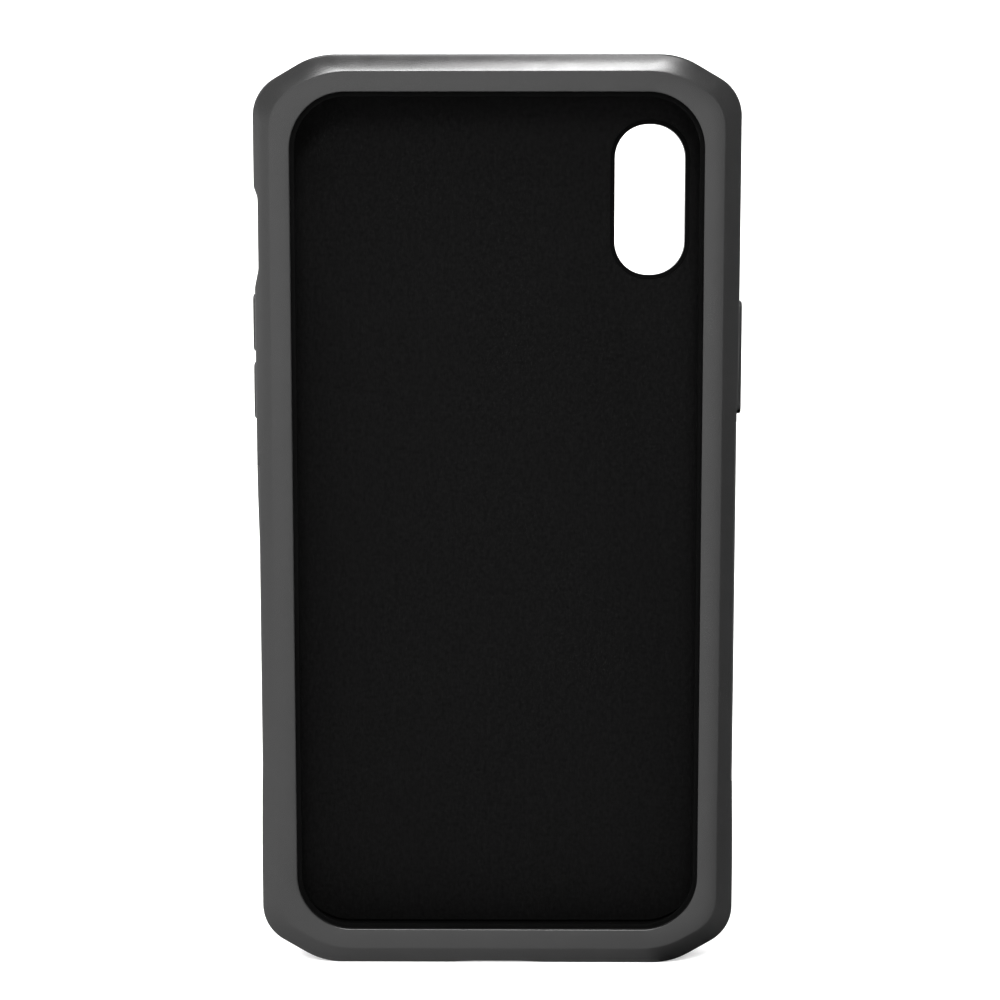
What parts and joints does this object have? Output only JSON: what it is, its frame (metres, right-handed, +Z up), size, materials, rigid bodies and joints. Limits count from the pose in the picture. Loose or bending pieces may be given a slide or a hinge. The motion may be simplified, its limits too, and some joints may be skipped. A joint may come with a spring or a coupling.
{
  "type": "phone case",
  "caption": "Rugged phone case: ring frame with wide front lip, bevelled edges and cut corners, lined soft inner tray, stiff back plate, sprung side buttons, camera window and port openings.",
  "frame": {"origin": "under the middle of the case, which stands on its bottom edge: the bottom centre of its bounding box", "axes": "+X to the right seen from the screen side, -Y out of the screen side, +Y out of the back, +Z up along the long side"},
  "size_m": [0.0894, 0.0132, 0.1682],
  "materials": {
    "frame": "satin moulded polycarbonate, dark grey",
    "button": "satin moulded plastic, dark grey",
    "grip": "fine ribbed soft touch",
    "sleeve": "matt black moulded elastomer",
    "cushion": "matt dark grey foam rubber",
    "pad": "matt black silicone sponge",
    "pin": "matt black plastic",
    "lining": "short-pile black felt",
    "plate": "fine grained dark grey",
    "bezel": "bead blasted, dark anodised"
  },
  "bodies": {
    "case": {"bumper_frame": "frame", "inner_sleeve": "sleeve", "back_lining": "lining", "back_plate": "plate", "camera_bezel": "bezel", "corner_cushion_top_left": "cushion", "corner_cushion_top_right": "cushion", "corner_cushion_bottom_left": "cushion", "corner_cushion_bottom_right": "cushion", "left_grip": "grip", "right_grip": "grip", "volume_up_return_pad": "pad", "volume_down_return_pad": "pad", "side_return_pad": "pad"},
    "volume_up": {"volume_up_button": "button", "volume_up_push_pin": "pin"},
    "volume_down": {"volume_down_button": "button", "volume_down_push_pin": "pin"},
    "side": {"side_button": "button", "side_push_pin": "pin"}
  },
  "joints": [
    {"name": "volume_up_press", "type": "slide", "parent": "case", "child": "volume_up", "axis": [1, 0, 0], "range_m": [0, 0.0004], "stiffness_N_per_m": 5000, "deforming": ["volume_up_return_pad"]},
    {"name": "volume_down_press", "type": "slide", "parent": "case", "child": "volume_down", "axis": [1, 0, 0], "range_m": [0, 0.0004], "stiffness_N_per_m": 5000, "deforming": ["volume_down_return_pad"]},
    {"name": "side_press", "type": "slide", "parent": "case", "child": "side", "axis": [-1, 0, 0], "range_m": [0, 0.0004], "stiffness_N_per_m": 5000, "deforming": ["side_return_pad"]}
  ]
}
